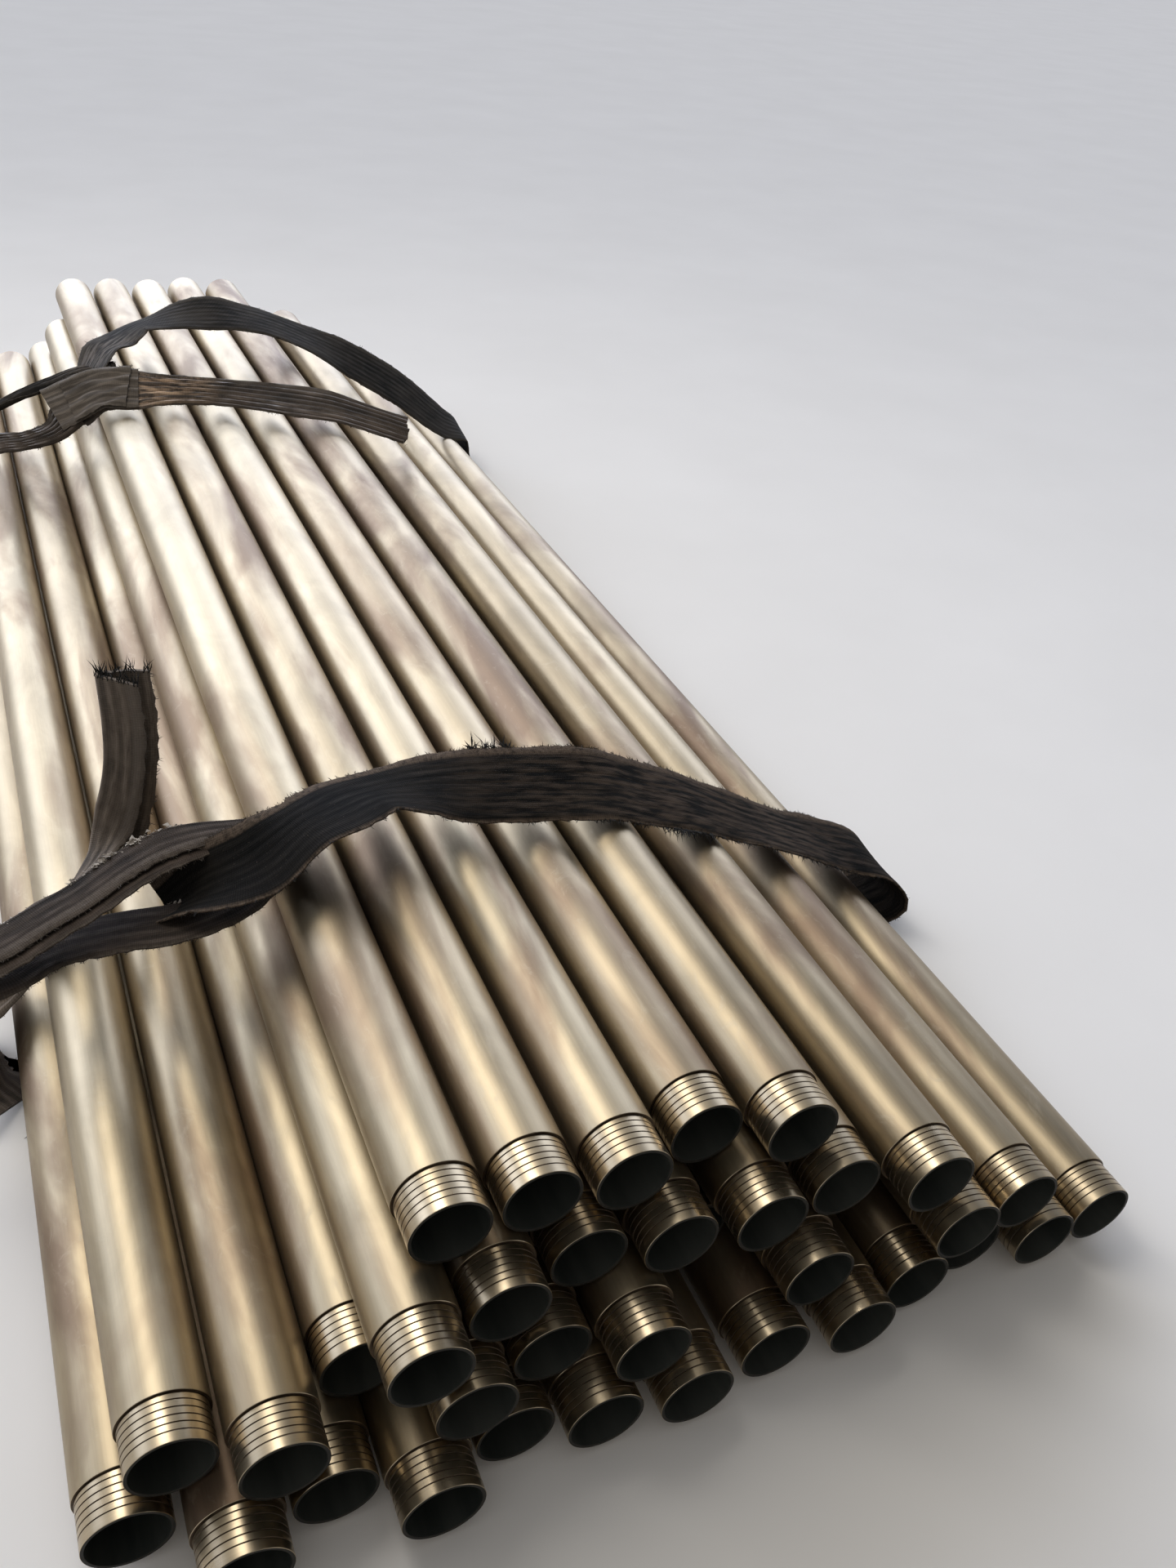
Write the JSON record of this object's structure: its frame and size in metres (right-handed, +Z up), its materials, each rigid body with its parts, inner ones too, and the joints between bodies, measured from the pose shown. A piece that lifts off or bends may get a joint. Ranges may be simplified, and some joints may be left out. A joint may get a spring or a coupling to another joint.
{
  "type": "bundle of steel pipes",
  "caption": "Bundle of long steel pipes with flush threaded ends, stacked in nested layers and carried by two flat webbing slings.",
  "frame": {"origin": "middle of the bundle's outline, on the floor that the slings rest on", "axes": "X across the bundle, Y along the pipes towards their plain ends, Z up"},
  "size_m": [1.3664, 3.21, 0.479],
  "materials": {
    "steel": "bare rolled steel, warm grey with brown oxide stains and scratches",
    "webbing": "old dirty ribbed polyester webbing, frayed at its edges"
  },
  "bodies": {
    "root": {"bottom_pipe_01": "steel", "bottom_pipe_02": "steel", "bottom_pipe_03": "steel", "bottom_pipe_04": "steel", "bottom_pipe_05": "steel", "bottom_pipe_06": "steel", "bottom_pipe_07": "steel", "bottom_pipe_08": "steel", "bottom_pipe_09": "steel", "bottom_pipe_10": "steel", "bottom_pipe_11": "steel", "bottom_pipe_12": "steel", "bottom_pipe_13": "steel", "far_sling": "webbing", "near_sling": "webbing", "second_pipe_01": "steel", "second_pipe_02": "steel", "second_pipe_03": "steel", "second_pipe_04": "steel", "second_pipe_05": "steel", "second_pipe_06": "steel", "second_pipe_07": "steel", "second_pipe_08": "steel", "second_pipe_09": "steel", "second_pipe_10": "steel", "second_pipe_11": "steel", "third_pipe_01": "steel", "third_pipe_02": "steel", "third_pipe_03": "steel", "third_pipe_04": "steel", "third_pipe_05": "steel", "third_pipe_06": "steel", "third_pipe_07": "steel", "top_pipe_01": "steel", "top_pipe_02": "steel", "top_pipe_03": "steel", "top_pipe_04": "steel", "top_pipe_05": "steel"}
  },
  "joints": []
}
